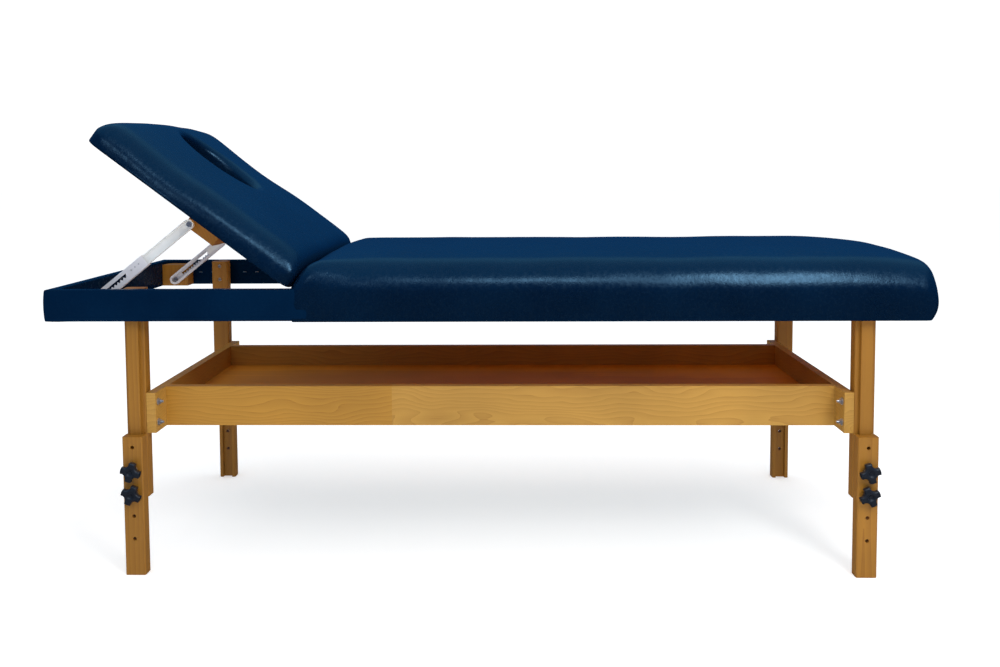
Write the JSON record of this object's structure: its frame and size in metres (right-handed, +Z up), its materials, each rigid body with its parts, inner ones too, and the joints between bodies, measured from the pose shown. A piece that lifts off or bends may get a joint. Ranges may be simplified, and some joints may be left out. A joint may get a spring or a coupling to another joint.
{
  "type": "massage table",
  "caption": "Padded treatment table on adjustable wooden legs, with a shelf and a tilting head section with a face hole.",
  "frame": {"origin": "on the floor, under the middle of the overall length and width", "axes": "+X runs from the head end to the foot end, +Y from the front to the back, +Z up"},
  "size_m": [1.888, 0.7466, 0.9828],
  "materials": {
    "pine": "clear satin lacquer on honey coloured pine",
    "plywood": "lacquered plywood",
    "vinyl": "navy upholstery vinyl with a fine grain and a soft gloss",
    "foam": "upholstery foam",
    "strut_steel": "bright zinc plated strip",
    "fastener_steel": "zinc plated",
    "knob_plastic": "near black moulded plastic"
  },
  "bodies": {
    "frame_and_shelf": {"front_rail": "pine", "back_rail": "pine", "head_rail": "pine", "foot_rail": "pine", "hinge_rail": "pine", "mid_rail": "pine", "front_strut_block": "pine", "back_strut_block": "pine", "tray_cover": "vinyl", "tray_staples": "fastener_steel", "main_deck": "plywood", "main_foam": "foam", "main_cover": "vinyl", "hinge_frame_leaves": "fastener_steel", "hinge_pins": "fastener_steel", "hinge_frame_screws": "fastener_steel", "strut_low_screws": "fastener_steel", "head_front_post": "pine", "head_back_post": "pine", "foot_front_post": "pine", "foot_back_post": "pine", "post_screws": "fastener_steel", "shelf_front": "pine", "shelf_back": "pine", "shelf_head": "pine", "shelf_foot": "pine", "shelf_panel": "plywood", "shelf_bolts": "fastener_steel"},
    "head_section": {"head_board": "plywood", "head_foam": "foam", "head_cover": "vinyl", "head_batten": "pine", "batten_screws": "fastener_steel", "hinge_head_leaves": "fastener_steel", "hinge_head_screws": "fastener_steel"},
    "front_strut_channel": {"front_channel": "strut_steel"},
    "front_strut_rail": {"front_slide": "strut_steel", "front_pawl": "strut_steel", "front_top_screw": "fastener_steel"},
    "back_strut_channel": {"back_channel": "strut_steel"},
    "back_strut_rail": {"back_slide": "strut_steel", "back_pawl": "strut_steel", "back_top_screw": "fastener_steel"},
    "head_front_lower_leg": {"head_front_leg": "pine", "head_front_bolts": "fastener_steel"},
    "head_front_upper_knob_body": {"head_front_upper_knob": "knob_plastic"},
    "head_front_lower_knob_body": {"head_front_lower_knob": "knob_plastic"},
    "head_back_lower_leg": {"head_back_leg": "pine", "head_back_bolts": "fastener_steel"},
    "head_back_upper_knob_body": {"head_back_upper_knob": "knob_plastic"},
    "head_back_lower_knob_body": {"head_back_lower_knob": "knob_plastic"},
    "foot_front_lower_leg": {"foot_front_leg": "pine", "foot_front_bolts": "fastener_steel"},
    "foot_front_upper_knob_body": {"foot_front_upper_knob": "knob_plastic"},
    "foot_front_lower_knob_body": {"foot_front_lower_knob": "knob_plastic"},
    "foot_back_lower_leg": {"foot_back_leg": "pine", "foot_back_bolts": "fastener_steel"},
    "foot_back_upper_knob_body": {"foot_back_upper_knob": "knob_plastic"},
    "foot_back_lower_knob_body": {"foot_back_lower_knob": "knob_plastic"}
  },
  "joints": [
    {"name": "head_tilt", "type": "hinge", "parent": "frame_and_shelf", "child": "head_section", "pos_m": [-0.424, 0, 0.62], "axis": [0, 1, 0], "range_deg": [-37, 0]},
    {"name": "front_strut_pivot", "type": "hinge", "parent": "frame_and_shelf", "child": "front_strut_channel", "pos_m": [-0.8825, 0, 0.572], "axis": [0, 1, 0], "range_deg": [0, 34.02]},
    {"name": "front_strut_slide", "type": "slide", "parent": "front_strut_channel", "child": "front_strut_rail", "axis": [0.7801, 0, 0.6257], "range_m": [-0.09978, 0]},
    {"name": "back_strut_pivot", "type": "hinge", "parent": "frame_and_shelf", "child": "back_strut_channel", "pos_m": [-0.8825, 0, 0.572], "axis": [0, 1, 0], "range_deg": [0, 34.02]},
    {"name": "back_strut_slide", "type": "slide", "parent": "back_strut_channel", "child": "back_strut_rail", "axis": [0.7801, 0, 0.6257], "range_m": [-0.09978, 0]},
    {"name": "head_front_leg_height", "type": "slide", "parent": "frame_and_shelf", "child": "head_front_lower_leg", "axis": [0, 0, 1], "range_m": [-0.05, 0.05]},
    {"name": "head_front_upper_knob_turn", "type": "hinge", "parent": "head_front_lower_leg", "child": "head_front_upper_knob_body", "pos_m": [-0.763, 0, 0.23], "axis": [0, 1, 0], "continuous": true},
    {"name": "head_front_lower_knob_turn", "type": "hinge", "parent": "head_front_lower_leg", "child": "head_front_lower_knob_body", "pos_m": [-0.763, 0, 0.18], "axis": [0, 1, 0], "continuous": true},
    {"name": "head_back_leg_height", "type": "slide", "parent": "frame_and_shelf", "child": "head_back_lower_leg", "axis": [0, 0, 1], "range_m": [-0.05, 0.05]},
    {"name": "head_back_upper_knob_turn", "type": "hinge", "parent": "head_back_lower_leg", "child": "head_back_upper_knob_body", "pos_m": [-0.763, 0, 0.23], "axis": [0, 1, 0], "continuous": true},
    {"name": "head_back_lower_knob_turn", "type": "hinge", "parent": "head_back_lower_leg", "child": "head_back_lower_knob_body", "pos_m": [-0.763, 0, 0.18], "axis": [0, 1, 0], "continuous": true},
    {"name": "foot_front_leg_height", "type": "slide", "parent": "frame_and_shelf", "child": "foot_front_lower_leg", "axis": [0, 0, 1], "range_m": [-0.05, 0.05]},
    {"name": "foot_front_upper_knob_turn", "type": "hinge", "parent": "foot_front_lower_leg", "child": "foot_front_upper_knob_body", "pos_m": [0.804, 0, 0.23], "axis": [0, 1, 0], "continuous": true},
    {"name": "foot_front_lower_knob_turn", "type": "hinge", "parent": "foot_front_lower_leg", "child": "foot_front_lower_knob_body", "pos_m": [0.804, 0, 0.18], "axis": [0, 1, 0], "continuous": true},
    {"name": "foot_back_leg_height", "type": "slide", "parent": "frame_and_shelf", "child": "foot_back_lower_leg", "axis": [0, 0, 1], "range_m": [-0.05, 0.05]},
    {"name": "foot_back_upper_knob_turn", "type": "hinge", "parent": "foot_back_lower_leg", "child": "foot_back_upper_knob_body", "pos_m": [0.804, 0, 0.23], "axis": [0, 1, 0], "continuous": true},
    {"name": "foot_back_lower_knob_turn", "type": "hinge", "parent": "foot_back_lower_leg", "child": "foot_back_lower_knob_body", "pos_m": [0.804, 0, 0.18], "axis": [0, 1, 0], "continuous": true}
  ],
  "couplings": [
    {"joint": "front_strut_pivot", "follows": "head_tilt", "ratio": -0.90319},
    {"joint": "front_strut_slide", "follows": "head_tilt", "m_per_rad": 0.15327},
    {"joint": "back_strut_pivot", "follows": "head_tilt", "ratio": -0.90319},
    {"joint": "back_strut_slide", "follows": "head_tilt", "m_per_rad": 0.15327}
  ]
}
